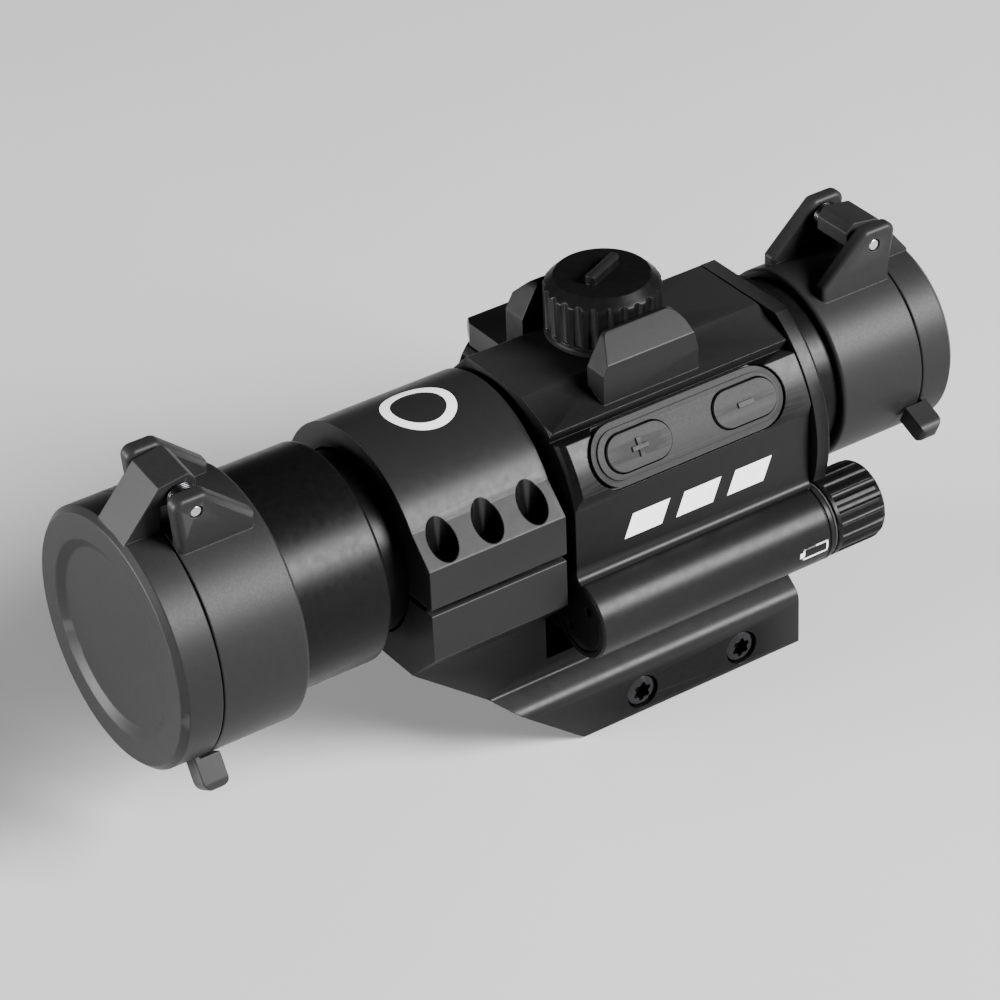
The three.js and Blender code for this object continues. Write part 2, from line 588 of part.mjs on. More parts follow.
// Thumb tab: a slab from the lid's rim, low on the near side, that reaches back over the sleeve.
function tabShape({ side, radius, seam, tab }) {
  const root = seam + side * 1.1;
  const tip = seam - side * 3.4;
  const under = radius + 0.4;
  const outer = radius + 5.9;
  const slab = outline([
    [root, radius - 1.1], [root, outer, 2], [tip, outer, 1.4], [tip, under],
    [seam + side * 0.1, under], [seam + side * 0.1, radius - 1.1],
  ]);
  const end = outline([
    [-hinge.tabHalf, radius - 2], [-hinge.tabHalf, outer, 1.4], [hinge.tabHalf, outer, 1.4],
    [hinge.tabHalf, radius - 2],
  ]);
  return prism("y", slab, -hinge.tabHalf, hinge.tabHalf)
    .intersect(prism("x", end, ...inOrder(root + side, tip - side)))
    .rotate([tab, 0, 0]).translate([0, 0, axisHeight]);
}

lensCap(frontCap);
lensCap(rearCap);

export default part;
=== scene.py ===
import math

import bmesh
import bpy
from mathutils import Matrix, Vector


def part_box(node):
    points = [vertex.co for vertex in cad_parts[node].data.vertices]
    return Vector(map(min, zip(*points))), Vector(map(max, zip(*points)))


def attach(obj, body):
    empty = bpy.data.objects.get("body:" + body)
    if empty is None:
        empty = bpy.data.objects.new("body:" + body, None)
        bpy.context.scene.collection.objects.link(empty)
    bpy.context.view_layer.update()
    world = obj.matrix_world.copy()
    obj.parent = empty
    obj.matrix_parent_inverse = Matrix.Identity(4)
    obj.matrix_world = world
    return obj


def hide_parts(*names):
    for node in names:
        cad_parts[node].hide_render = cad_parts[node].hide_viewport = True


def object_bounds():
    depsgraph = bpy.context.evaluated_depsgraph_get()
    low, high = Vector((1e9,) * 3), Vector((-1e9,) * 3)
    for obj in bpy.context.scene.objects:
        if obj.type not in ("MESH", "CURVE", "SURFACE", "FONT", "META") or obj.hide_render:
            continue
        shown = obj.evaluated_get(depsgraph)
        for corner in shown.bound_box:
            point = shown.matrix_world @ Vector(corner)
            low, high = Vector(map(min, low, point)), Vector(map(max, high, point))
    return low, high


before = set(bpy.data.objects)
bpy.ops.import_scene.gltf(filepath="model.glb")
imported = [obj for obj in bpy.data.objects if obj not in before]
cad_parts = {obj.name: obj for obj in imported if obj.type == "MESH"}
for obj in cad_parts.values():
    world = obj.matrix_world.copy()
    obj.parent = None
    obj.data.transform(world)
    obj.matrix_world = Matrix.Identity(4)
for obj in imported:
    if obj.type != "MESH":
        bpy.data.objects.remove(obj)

# Looks of a tube collimating sight. Shapes are drawn in millimetres in the part's own frame:
# X along the line of sight (+X to the eye), Z up, origin on the rail seat.

cad_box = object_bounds()


def node_mm(name):
    """A node's lowest and highest corners in millimetres."""
    low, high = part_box(name)
    return Vector(low) * 1000, Vector(high) * 1000


# ---------- places read from the frame ----------
drum_low, drum_high = node_mm("rear_collar")
tube_low, tube_high = node_mm("main_housing")
ring_low, ring_high = node_mm("ring_cap")
base_low, base_high = node_mm("mount_base")
jaw_low, jaw_high = node_mm("clamp_jaw")
cell_low, cell_high = node_mm("battery_cap")
top_cap_low, top_cap_high = node_mm("elevation_cap")
plus_low, plus_high = node_mm("plus_key")
minus_low, minus_high = node_mm("minus_key")

AXIS = 36.0
TURRET_X = (top_cap_low.x + top_cap_high.x) / 2
TUBE_R = 15.0
BELL_R = 18.2
DRUM_R = 23.5
DRUM_FRONT = -24.4
DRUM_REAR = 21.2
FLAT = 19.9
FLAT_HALF = 8.2
SIDE = 21.7
CELL_Y = (cell_low.y + cell_high.y) / 2
CELL_Z = (cell_low.z + cell_high.z) / 2 - AXIS
CELL_R = 6.8
KEY_ANGLE = 150.0
SMOOTH = 128
SMALL = 48

ON_AXIS = (0, 0, AXIS)
ON_CELL = (0, CELL_Y, AXIS + CELL_Z)
TURRET_AT = (TURRET_X, 0, AXIS)

FLAT_FAR = 6.8
COLLAR_SPAN = (20, 26)
BORE_R, BELL_BORE, EYE_BORE = 12.7, 16.2, 13.6
BOLT_XS, BOLT_Z = (-10, 10), -0.6
PIN_R, PIN_BORE, PIN_HALF = 0.95, 1.1, 7.9
EAR_INNER, EAR_OUTER = 5.2, 8.0
TAB_HALF, TAB_TOP = 1.75, 5.9
PRINT_LIFT = 0.04

# Cutting tools reach this far past the part's sides.
WIDE = 30

# Points closer than these are merged, and faces within this angle become one, before shading.
MERGE, SLIVER, COPLANAR = 0.015, 0.01, 0.4


def up(z):
    return AXIS + z


# ---------- mesh code ----------
LAY = {
    "x": Matrix(((0, 0, 1, 0), (1, 0, 0, 0), (0, 1, 0, 0), (0, 0, 0, 1))),
    "y": Matrix(((1, 0, 0, 0), (0, 0, 1, 0), (0, 1, 0, 0), (0, 0, 0, 1))),
    "z": Matrix.Identity(4),
}


def arc(middle, radius, start, end, steps):
    """Points on a circle from one angle to another, in degrees."""
    turn = [math.radians(start + (end - start) * i / steps) for i in range(steps + 1)]
    return [(middle[0] + radius * math.cos(t), middle[1] + radius * math.sin(t)) for t in turn]


def rounded(corners, steps=6):
    """An outline from corners (a, b) or (a, b, radius): a radius turns the corner into an arc."""
    points = []
    for i, corner in enumerate(corners):
        here = Vector(corner[:2])
        radius = corner[2] if len(corner) > 2 else 0
        if not radius:
            points.append(tuple(here))
            continue
        back = (Vector(corners[i - 1][:2]) - here).normalized()
        on = (Vector(corners[(i + 1) % len(corners)][:2]) - here).normalized()
        half = back.angle(on) / 2
        middle = here + (back + on).normalized() * radius / math.sin(half)
        first = here + back * radius / math.tan(half) - middle
        last = here + on * radius / math.tan(half) - middle
        begin = math.degrees(math.atan2(first.y, first.x))
        turn = math.degrees(math.atan2(last.y, last.x)) - begin
        turn = (turn + 180) % 360 - 180
        points += arc(middle, radius, begin, begin + turn, steps)
    return points


def to_object(name, build):
    """A mesh object in millimetres from the faces that build(bm) adds."""
    bm = bmesh.new()
    build(bm)
    bmesh.ops.remove_doubles(bm, verts=bm.verts, dist=1e-5)
    bmesh.ops.recalc_face_normals(bm, faces=bm.faces)
    mesh = bpy.data.meshes.new(name)
    bm.to_mesh(mesh)
    bm.free()
    obj = bpy.data.objects.new(name, mesh)
    bpy.context.scene.collection.objects.link(obj)
    return obj


def prism(axis, outline, low, high):
    """A prism along an axis: its outline is (y, z) for x, (x, z) for y and (x, y) for z."""

    def build(bm):
        rings = []
        for height in (low, high):
            rings.append([bm.verts.new(LAY[axis] @ Vector((a, b, height))) for a, b in outline])
        bm.faces.new(rings[0])
        bm.faces.new(rings[1])
        for i in range(len(outline)):
            j = (i + 1) % len(outline)
            bm.faces.new((rings[0][i], rings[0][j], rings[1][j], rings[1][i]))

    return to_object("prism", build)


def turned(axis, profile, at, segments=SMOOTH):
    """A turned piece from a closed profile of (along, radius) about an axis through `at`."""

    def build(bm):
        rings = []
        for along, radius in profile:
            count = segments if radius > 1e-6 else 1
            ring = []
            for i in range(count):
                t = 2 * math.pi * i / segments
                spot = LAY[axis] @ Vector((radius * math.cos(t), radius * math.sin(t), along))
                ring.append(bm.verts.new(spot + Vector(at)))
            rings.append(ring)
        for a, b in zip(rings, rings[1:] + rings[:1]):
            if len(a) == 1 and len(b) == 1:
                continue
            for i in range(segments):
                j = (i + 1) % segments
                corners = [a[i % len(a)], a[j % len(a)], b[j % len(b)], b[i % len(b)]]
                bm.faces.new(list(dict.fromkeys(corners)))

    return to_object("turned", build)


def rod(axis, radius, low, high, at, segments=SMALL):
    return turned(axis, [(low, 0), (low, radius), (high, radius), (high, 0)], at, segments)


def block(x, y, z):
    return prism("z", [(x[0], y[0]), (x[1], y[0]), (x[1], y[1]), (x[0], y[1])], z[0], z[1])


def bake(obj):
    """Puts the result of an object's modifiers into its mesh."""
    graph = bpy.context.evaluated_depsgraph_get()
    mesh = bpy.data.meshes.new_from_object(obj.evaluated_get(graph))
    obj.modifiers.clear()
    obj.data = mesh
    return obj


def combine(body, tools, operation):
    for tool in tools:
        modifier = body.modifiers.new(operation.lower(), "BOOLEAN")
        modifier.operation = operation
        modifier.solver = "MANIFOLD"
        modifier.object = tool
    bake(body)
    for tool in tools:
        bpy.data.objects.remove(tool)
    return body


def join(body, *tools):
    return combine(body, tools, "UNION")


def cut(body, *tools):
    return combine(body, tools, "DIFFERENCE")


def common(body, *tools):
    return combine(body, tools, "INTERSECT")


def move(obj, matrix):
    obj.data.transform(matrix)
    return obj


def onto_flank(obj):
    """Lays what is drawn upright over the optical axis on the near flank, at the keys' angle."""
    tip = Matrix.Rotation(math.radians(KEY_ANGLE - 90), 4, "X")
    return move(obj, Matrix.Translation((0, 0, AXIS)) @ tip)


def turn_about(obj, angle):
    """Turns an object about the optical axis, in degrees."""
    lift = Matrix.Translation((0, 0, AXIS))
    return move(obj, lift @ Matrix.Rotation(math.radians(angle), 4, "X") @ lift.inverted())


def onto_far_side(obj):
    """Lays what is drawn for the top turret on the far side."""
    return turn_about(obj, -90)


def leave(obj):
    return obj


def obround(low_x, high_x, half, inner, outer):
    """An obround along X on the near flank, between two distances from the optical axis."""
    points = arc((low_x + half, 0), half, 90, 270, 20) + arc((high_x - half, 0), half, -90, 90, 20)
    return onto_flank(prism("z", points, inner, outer))


def soften(obj, width, angle=32, segments=3):
    """Rounds an object's sharp edges and shades it smooth, with flat faces kept flat."""
    bm = bmesh.new()
    bm.from_mesh(obj.data)
    bmesh.ops.remove_doubles(bm, verts=bm.verts, dist=MERGE)
    bmesh.ops.dissolve_degenerate(bm, edges=bm.edges, dist=SLIVER)
    bmesh.ops.dissolve_limit(
        bm, angle_limit=math.radians(COPLANAR), verts=bm.verts, edges=bm.edges,
        use_dissolve_boundaries=False,
    )
    for face in bm.faces:
        face.smooth = True
    bm.to_mesh(obj.data)
    bm.free()
    if width:
        bevel = obj.modifiers.new("bevel", "BEVEL")
        bevel.width = width
        bevel.segments = segments
        bevel.limit_method = "ANGLE"
        bevel.angle_limit = math.radians(angle)
        bevel.use_clamp_overlap = False
        bevel.miter_outer = "MITER_ARC"
        bake(obj)
    obj.data.set_sharp_from_angle(angle=math.radians(angle))
    weighted = obj.modifiers.new("normals", "WEIGHTED_NORMAL")
    weighted.weight = 80
    weighted.keep_sharp = True
    return bake(obj)


def piece(obj, name, body, material, nodes=None, width=0.25, angle=32, segments=3):
    """Finishes an object drawn in millimetres: edges, scale, name, material and body."""
    soften(obj, width, angle, segments)
    obj.data.transform(Matrix.Scale(0.001, 4))
    obj.name = name
    obj.data.name = name
    obj.data.materials.clear()
    obj.data.materials.append(material)
    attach(obj, body)
    if nodes:
        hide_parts(*nodes)


def triangulated(obj):
    """Splits many-sided faces, so a face with a hole in it isn't filled across the hole."""
    bm = bmesh.new()
    bm.from_mesh(obj.data)
    bmesh.ops.triangulate(bm, faces=[face for face in bm.faces if len(face.verts) > 4])
    bm.to_mesh(obj.data)
    bm.free()
    return obj


def soft_edges(obj, width, segments=3, angle=40):
    """Rounds the sharp edges of a piece before it is joined to others."""
    bevel = obj.modifiers.new("bevel", "BEVEL")
    bevel.width = width
    bevel.segments = segments
    bevel.limit_method = "ANGLE"
    bevel.angle_limit = math.radians(angle)
    return bake(obj)


def soft_ear(ear):
    return soft_edges(ear, 0.95, 6, 50)


# ---------- materials ----------
def shader(name, color, roughness, metallic=0.0, specular=0.5):
    material = bpy.data.materials.new(name)
    material.use_nodes = True
    bsdf = material.node_tree.nodes["Principled BSDF"]
    bsdf.inputs["Base Color"].default_value = (*color, 1)
    bsdf.inputs["Roughness"].default_value = roughness
    bsdf.inputs["Metallic"].default_value = metallic
    bsdf.inputs["Specular IOR Level"].default_value = specular
    return material, material.node_tree.nodes, material.node_tree.links, bsdf


def noise(nodes, links, scale, detail=3.0, rough=0.55):
    coord = nodes.new("ShaderNodeTexCoord")
    texture = nodes.new("ShaderNodeTexNoise")
    texture.inputs["Scale"].default_value = scale
    texture.inputs["Detail"].default_value = detail
    texture.inputs["Roughness"].default_value = rough
    links.new(coord.outputs["Object"], texture.inputs["Vector"])
    return texture


def spread(nodes, links, texture, low, high, socket):
    """Feeds a texture's value to a socket between two numbers or two colours."""
    ramp = nodes.new("ShaderNodeValToRGB")
    ramp.color_ramp.elements[0].position = 0.3
    ramp.color_ramp.elements[1].position = 0.7
    for element, value in zip(ramp.color_ramp.elements, (low, high)):
        element.color = (*value, 1) if isinstance(value, tuple) else (value, value, value, 1)
    links.new(texture.outputs["Fac"], ramp.inputs["Fac"])
    links.new(ramp.outputs["Color"], socket)


def grain(nodes, links, bsdf, scale, strength, depth, edge=0.0):
    """Fine surface grain, over edges rounded to a radius in metres."""
    texture = noise(nodes, links, scale, 2.0, 0.6)
    bump = nodes.new("ShaderNodeBump")
    bump.inputs["Strength"].default_value = strength
    bump.inputs["Distance"].default_value = depth
    links.new(texture.outputs["Fac"], bump.inputs["Height"])
    if edge:
        round_edge = nodes.new("ShaderNodeBevel")
        round_edge.samples = 6
        round_edge.inputs["Radius"].default_value = edge
        links.new(round_edge.outputs["Normal"], bump.inputs["Normal"])
    links.new(bump.outputs["Normal"], bsdf.inputs["Normal"])


def cloud_and_edge_highlight(nodes, links, bsdf, low, high, edge_highlight):
    """Base colour with a fine cloudy variation; convex edges are painted lighter as a painted
    highlight along the edges.
    """
    cloud = noise(nodes, links, 900.0, 4.0)
    mix = nodes.new("ShaderNodeMix")
    mix.data_type = "RGBA"
    # Pointiness picks out convex edges, which are mixed toward the painted edge-highlight colour.
    geometry = nodes.new("ShaderNodeNewGeometry")
    edge = nodes.new("ShaderNodeMapRange")
    edge.inputs["From Min"].default_value = 0.53
    edge.inputs["From Max"].default_value = 0.62
    edge.inputs["To Max"].default_value = 0.6
    links.new(geometry.outputs["Pointiness"], edge.inputs["Value"])
    links.new(edge.outputs["Result"], mix.inputs["Factor"])
    mix.inputs["B"].default_value = (*edge_highlight, 1)
    spread(nodes, links, cloud, low, high, mix.inputs["A"])
    links.new(mix.outputs["Result"], bsdf.inputs["Base Color"])


def anodised_black():
    color = (0.0035, 0.0035, 0.0035)
    material, nodes, links, bsdf = shader("anodised_black", color, 0.33, 0.0, 0.095)
    # The last colour is a painted highlight on convex edges.
    cloud_and_edge_highlight(nodes, links, bsdf, (0.0028, 0.0028, 0.0029), (0.0042, 0.0042, 0.0043), (0.03, 0.03, 0.03))
    spread(nodes, links, noise(nodes, links, 700.0), 0.3, 0.37, bsdf.inputs["Roughness"])
    grain(nodes, links, bsdf, 5200.0, 0.16, 0.00002, 0.00025)
    return material


def matte_plastic():
    material, nodes, links, bsdf = shader("moulded_plastic", (0.008, 0.008, 0.008), 0.45, 0.0, 0.13)
    # The last colour is a painted highlight on convex edges.
    cloud_and_edge_highlight(nodes, links, bsdf, (0.0125, 0.0125, 0.0127), (0.0145, 0.0145, 0.0148), (0.04, 0.04, 0.04))
    spread(nodes, links, noise(nodes, links, 2400.0), 0.41, 0.46, bsdf.inputs["Roughness"])
    grain(nodes, links, bsdf, 3600.0, 0.25, 0.00003, 0.00025)
    return material


def soft_rubber():
    material, nodes, links, bsdf = shader("soft_rubber", (0.016, 0.016, 0.016), 0.7, 0.0, 0.16)
    # The last colour is a painted highlight on convex edges.
    cloud_and_edge_highlight(nodes, links, bsdf, (0.012, 0.012, 0.0123), (0.0142, 0.0142, 0.0145), (0.05, 0.05, 0.05))
    spread(nodes, links, noise(nodes, links, 2600.0), 0.59, 0.67, bsdf.inputs["Roughness"])
    grain(nodes, links, bsdf, 6000.0, 0.2, 0.00002, 0.00015)
    return material


def metal(name, color, dark, low, high):
    material, nodes, links, bsdf = shader(name, color, (low + high) / 2, 1.0)
    spread(nodes, links, noise(nodes, links, 220.0), dark, color, bsdf.inputs["Base Color"])
    spread(nodes, links, noise(nodes, links, 1500.0), low, high, bsdf.inputs["Roughness"])
    grain(nodes, links, bsdf, 9000.0, 0.12, 0.00001)
    return material


def print_white():
    material, nodes, links, bsdf = shader("white_print", (0.8, 0.8, 0.8), 0.55)
    spread(nodes, links, noise(nodes, links, 2600.0), (0.74, 0.74, 0.73), (0.86, 0.86, 0.85),
           bsdf.inputs["Base Color"])
    grain(nodes, links, bsdf, 8000.0, 0.1, 0.00001)
    return material


def coated_glass():
    material, nodes, links, bsdf = shader("coated_glass", (0.9, 0.86, 0.88), 0.03)
    bsdf.inputs["Transmission Weight"].default_value = 1.0
    bsdf.inputs["IOR"].default_value = 1.52
    bsdf.inputs["Coat Weight"].default_value = 0.6
    bsdf.inputs["Coat Tint"].default_value = (1.0, 0.35, 0.3, 1)
    spread(nodes, links, noise(nodes, links, 60.0), 0.02, 0.05, bsdf.inputs["Roughness"])
    return material


def circuit_green():
    material, nodes, links, bsdf = shader("circuit_green", (0.02, 0.12, 0.05), 0.35)
    spread(nodes, links, noise(nodes, links, 400.0), (0.015, 0.09, 0.035), (0.03, 0.16, 0.07),
           bsdf.inputs["Base Color"])
    grain(nodes, links, bsdf, 1500.0, 0.3, 0.00003)
    return material


def foil():
    material, nodes, links, bsdf = shader("cell_foil", (0.35, 0.35, 0.37), 0.3, 0.6)
    spread(nodes, links, noise(nodes, links, 120.0), (0.3, 0.3, 0.32), (0.4, 0.4, 0.42),
           bsdf.inputs["Base Color"])
    grain(nodes, links, bsdf, 2000.0, 0.1, 0.00002)
    return material


ANODISED = anodised_black()
PLASTIC = matte_plastic()
RUBBER = soft_rubber()
STEEL = metal("turned_steel", (0.62, 0.62, 0.64), (0.45, 0.45, 0.46), 0.18, 0.32)
OXIDE = metal("black_oxide", (0.05, 0.05, 0.053), (0.03, 0.03, 0.032), 0.24, 0.36)
BRASS = metal("turned_brass", (0.72, 0.52, 0.22), (0.55, 0.38, 0.16), 0.2, 0.35)
WHITE = print_white()
GLASS = coated_glass()
BOARD = circuit_green()
FOIL = foil()


# ---------- turret housing ----------
def drum_section():
    lower = [(y, up(z)) for y, z in arc((0, 0), DRUM_R, -32, -157, 60)]
    upper = [(y, up(z)) for y, z in arc((0, 0), DRUM_R, 160.5, 139.5, 14)]
    corners = [(-FLAT_HALF, up(FLAT), 1.2)]
    corners += [(FLAT_FAR, up(FLAT), 0.8), (FLAT, up(FLAT_FAR), 0.8)]
    corners += lower
    corners += [(-SIDE, up(-9)), (-SIDE, up(5.5), 2.2)]
    corners += upper
    corners += [(-15.1, up(14.8)), (-15.8, up(16.7))]
    return rounded(corners)


def cheeks(place):
    front, rear, root, top, knee = -13.5, 4.8, up(13.4), up(27.6), up(23.9)
    near = [(-14.6, root), (-14.6, knee, 0.4), (-10.8, top, 0.4), (-10.4, top), (-10.4, root)]
    far = [(11.6, root), (11.6, knee + 1, 0.4), (8.9, top, 0.4), (7, top), (7, root)]
    sides = [prism("x", rounded(section), front, rear) for section in (near, far)]
    profile = rounded([
        (front, root - 1), (front, knee - 1.5, 1), (front + 3, top + 0.1, 2),
        (rear - 1.6, top + 0.1, 3.5), (rear, knee - 3, 2.5), (rear, root - 1),
    ], 10)
    trim = prism("y", profile, -WIDE, WIDE)
    well = rod("z", 10.3, up(FLAT), top + 2, (TURRET_X, 0, 0), SMOOTH)
    return place(cut(common(join(*sides), trim), well))


def fillet_strip():
    """Concave blend between the drum's near side and the top of the battery tube."""
    radius = 1.3
    middle = (-SIDE - radius, 0)
    rise = math.sqrt((CELL_R + radius) ** 2 - (middle[0] - CELL_Y) ** 2)
    middle = (middle[0], up(CELL_Z + rise))
    end = math.degrees(math.atan2(up(CELL_Z) - middle[1], CELL_Y - middle[0]))
    points = arc(middle, radius, 0, end, 12)
    points += [(CELL_Y - 1, up(CELL_Z + 3)), (-16, up(CELL_Z + 3)), (-16, middle[1])]
    return prism("x", points, DRUM_FRONT, DRUM_REAR)


def housing():
    shell = turned("x", rounded([
        (tube_low.x, BELL_BORE), (tube_low.x, BELL_R, 0.6), (-55.9, BELL_R, 0.9),
        (-55.9, TUBE_R + 1.2), (-54.9, TUBE_R), (DRUM_FRONT + 1, TUBE_R),
        (DRUM_FRONT + 1, 17.4), (27.6, 17.4),
        (28.4, 16.6), (28.4, TUBE_R), (tube_high.x, TUBE_R, 0.4), (tube_high.x, EYE_BORE),
        (42, EYE_BORE), (42, BORE_R), (-72, BORE_R), (-72, BELL_BORE),
    ]), ON_AXIS)
    front = turned("x", rounded([
        (DRUM_FRONT, 0), (DRUM_FRONT, 22.2), (DRUM_FRONT + 0.5, 22.9, 0.3),
        (DRUM_FRONT + 1.2, 23.3), (DRUM_FRONT + 2, 26), (DRUM_REAR, 26), (DRUM_REAR, 0),
    ]), ON_AXIS)
    drum = common(prism("x", drum_section(), DRUM_FRONT, DRUM_REAR), front)
    holder = turned("x", [
        (DRUM_FRONT, 0), (DRUM_FRONT, CELL_R - 0.3), (DRUM_FRONT + 0.3, CELL_R),
        (DRUM_REAR - 1.1, CELL_R), (DRUM_REAR - 1, CELL_R - 0.18), (DRUM_REAR - 0.8, CELL_R - 0.18),
        (DRUM_REAR - 0.7, CELL_R), (DRUM_REAR, CELL_R), (DRUM_REAR + 0.2, CELL_R - 0.2),
        (DRUM_REAR + 0.2, 0),
    ], ON_CELL, 96)
    web = block((DRUM_FRONT, DRUM_REAR), (-SIDE, -14), (up(-19), up(-5)))
    body = join(drum, holder, web, fillet_strip(), cheeks(leave), cheeks(onto_far_side), shell)
    return cut(
        body,
        rod("x", BORE_R, DRUM_FRONT - 2, 30, ON_AXIS, SMOOTH),
        rod("x", 5.45, DRUM_FRONT - 1, DRUM_REAR + 1, ON_CELL),
        rod("x", 6.25, DRUM_REAR - 2.8, DRUM_REAR + 1, ON_CELL),
        rod("x", 5.62, DRUM_FRONT - 1, DRUM_FRONT + 2.2, ON_CELL),
        rod("z", 6, up(11), up(22), (TURRET_X, 0, 0)),
        rod("y", 6, 11, 22, TURRET_AT),
        obround(-20.5, 17.2, 5.4, DRUM_R - 2.6, DRUM_R + 3),
        onto_flank(block((-17.5, 15.5), (-4.3, 4.3), (15.4, 22))),
    )


piece(housing(), "housing_body", "housing", ANODISED, ["main_housing"], 0)


def rear_collar():
    disc = turned("x", rounded([
        (drum_low.x, 0), (drum_low.x, DRUM_R), (drum_high.x, DRUM_R, 0.5), (drum_high.x, 0),
    ]), ON_AXIS)
    planes = prism("x", [
        (-WIDE, up(-WIDE)), (-WIDE, up(FLAT)), (FLAT_FAR, up(FLAT)), (FLAT, up(FLAT_FAR)),
        (FLAT, up(-WIDE)),
    ], *COLLAR_SPAN)
    return cut(
        common(disc, planes),
        rod("x", 17.7, *COLLAR_SPAN, ON_AXIS, SMOOTH),
        block(COLLAR_SPAN, (-25, -10), (up(-20), up(-9.5))),
        rod("x", CELL_R + 0.5, *COLLAR_SPAN, ON_CELL),
    )


piece(rear_collar(), "rear_collar_ring", "housing", ANODISED, ["rear_collar"], 0)


# ---------- optics ----------
def lens(x, radius, thickness, bulge):
    steps = 16
    front = []
    back = []
    for i in range(steps + 1):
        r = radius * i / steps
        sag = thickness / 2 - bulge * (r / radius) ** 2
        front.append((x - sag, r))
        back.append((x + sag, r))
    return turned("x", front + back[::-1], ON_AXIS, 96)


piece(lens(-80, 15.7, 5, 1.2), "objective_glass", "housing", GLASS,
      ["objective_lens"], 0, 40)
piece(lens(45.2, 13.2, 3, 0.4), "eyepiece_glass", "housing", GLASS,
      ["eyepiece_lens"], 0, 40)


def retainer(x0, x1, inner, outer):
    ring = turned("x", rounded([
        (x0, inner), (x0, outer, 0.2), (x1, outer, 0.2), (x1, inner + 0.6), (x1 - 0.6, inner),
    ]), ON_AXIS, 96)
    return cut(ring, block((x0 - 1, x0 + 0.8), (-outer, outer), (up(-0.6), up(0.6))))


piece(retainer(-86, -83, 13.6, 15.9), "objective_ring", "housing", ANODISED,
      ["objective_retainer"], 0.1)
piece(retainer(46.9, 48.5, 11.4, 13.3), "eyepiece_ring", "housing", ANODISED,
      ["eyepiece_retainer"], 0.1)


# ---------- turrets ----------
def turret_cap(place):
    cap, top, foot, shoulder, height = 9.4, 7.7, 20.2, 28.7, 30.4
    body = turned("z", rounded([
        (foot, 0), (foot, cap - 0.3), (foot + 0.3, cap), (foot + 1, cap), (foot + 1.1, cap - 0.15),
        (foot + 1.3, cap - 0.15), (foot + 1.4, cap), (shoulder, cap, 0.4),
        (shoulder + 0.55, cap - 0.5), (height, top, 0.3), (height, 0),
    ]), TURRET_AT, 144)
    flutes = []
    count, reach = 24, 9.95
    for i in range(count):
        t = 2 * math.pi * i / count
        spot = (TURRET_X + reach * math.cos(t), reach * math.sin(t), AXIS)
        flutes.append(rod("z", 0.95, foot + 1.8, height + 1, spot, 20))
    blade = prism("x", rounded([
        (-1.1, up(height - 0.5)), (-0.85, up(height + 1.5), 0.6), (0.85, up(height + 1.5), 0.6),
        (1.1, up(height - 0.5)),
    ]), -4.2, 4.2)
    ends = prism("z", arc((-3.1, 0), 1.1, 90, 270, 12) + arc((3.1, 0), 1.1, -90, 90, 12), 60, 70)
    blade = common(blade, ends)
    move(blade, Matrix.Translation((TURRET_X, 0, 0)) @ Matrix.Rotation(math.radians(24), 4, "Z"))
    return place(cut(join(body, blade), rod("z", 7.2, foot - 1, 25.5, TURRET_AT), *flutes))


def adjuster(place):
    dial = turned("z", rounded([
        (11, 0), (11, 1.5), (15.2, 1.5), (15.2, 5.2), (19, 5.2), (19, 5.7), (22.5, 5.7, 0.3),
        (22.5, 0),
    ]), TURRET_AT, 72)
    slot = block((TURRET_X - 0.5, TURRET_X + 0.5), (-4.4, 4.4), (up(21.6), up(24)))
    ticks = []
    count = 40
    for i in range(count):
        turn = Matrix.Rotation(2 * math.pi * i / count, 4, "Z")
        spot = Matrix.Translation((TURRET_X, 0, 0)) @ turn
        reach = 1.2 if i % 5 else 2.0
        tick = block((5.6 - reach, 6), (-0.08, 0.08), (up(22.38), up(23)))
        ticks.append(move(tick, spot))
    return place(cut(dial, slot, *ticks))


for name, place in (("elevation", leave), ("windage", onto_far_side)):
    piece(turret_cap(place), name + "_turret_cap", name + "_cap", ANODISED,
          [name + "_cap"], 0, 30)
    piece(adjuster(place), name + "_dial_screw", name + "_dial", BRASS,
          [name + "_adjuster"], 0)


# ---------- rubber keys ----------
def crown(extra):
    return rod("x", DRUM_R + extra, DRUM_FRONT, drum_high.x, ON_AXIS, SMOOTH * 2)


KEY_HALF = 3.3
PLUS_X = (plus_low.x + plus_high.x) / 2
MINUS_X = (minus_low.x + minus_high.x) / 2
KEY_REACH = (plus_high.x - plus_low.x) / 2


def key_pad():
    border = common(obround(-19.7, 16.9, 5.1, DRUM_R - 2.3, DRUM_R + 3), crown(-0.3))
    field = common(obround(-18.7, 15.9, 4.1, DRUM_R - 2, DRUM_R + 3), crown(0))
    skin = join(border, field)
    holes = []
    for x in (PLUS_X, MINUS_X):
        reach = KEY_REACH + 0.3
        holes.append(obround(x - reach, x + reach, KEY_HALF, DRUM_R - 5, DRUM_R + 4))
    return cut(skin, *holes)


piece(key_pad(), "rubber_pad", "housing", RUBBER, ["key_pad"], 0)


def key(x, bars):
    cap = common(
        obround(x - KEY_REACH, x + KEY_REACH, KEY_HALF - 0.3, DRUM_R - 2.9, DRUM_R + 3),
        crown(0.45),
    )
    marks = []
    for half_x, half_y in bars:
        bar = onto_flank(block((x - half_x, x + half_x), (-half_y, half_y), (21.5, 27)))
        marks.append(common(bar, crown(0.75)))
    return join(cap, *marks)


piece(key(PLUS_X, [(1.5, 0.4), (0.4, 1.5)]), "plus_button", "plus_key", RUBBER,
      ["plus_key"], 0)
piece(key(MINUS_X, [(1.5, 0.4)]), "minus_button", "minus_key", RUBBER,
      ["minus_key"], 0)


# ---------- battery tube ----------
def front_plug():
    disc = rod("x", 5.5, DRUM_FRONT + 0.1, DRUM_FRONT + 1.9, ON_CELL, 72)
    holes = []
    for sign in (-1, 1):
        spot = (0, CELL_Y - sign * 2.4, AXIS + CELL_Z + sign * 2.6)
        holes.append(rod("x", 0.75, DRUM_FRONT - 1, DRUM_FRONT + 1.2, spot, 24))
    return cut(disc, *holes)


piece(front_plug(), "battery_plug", "housing", ANODISED, ["battery_front_plug"], 0.12)


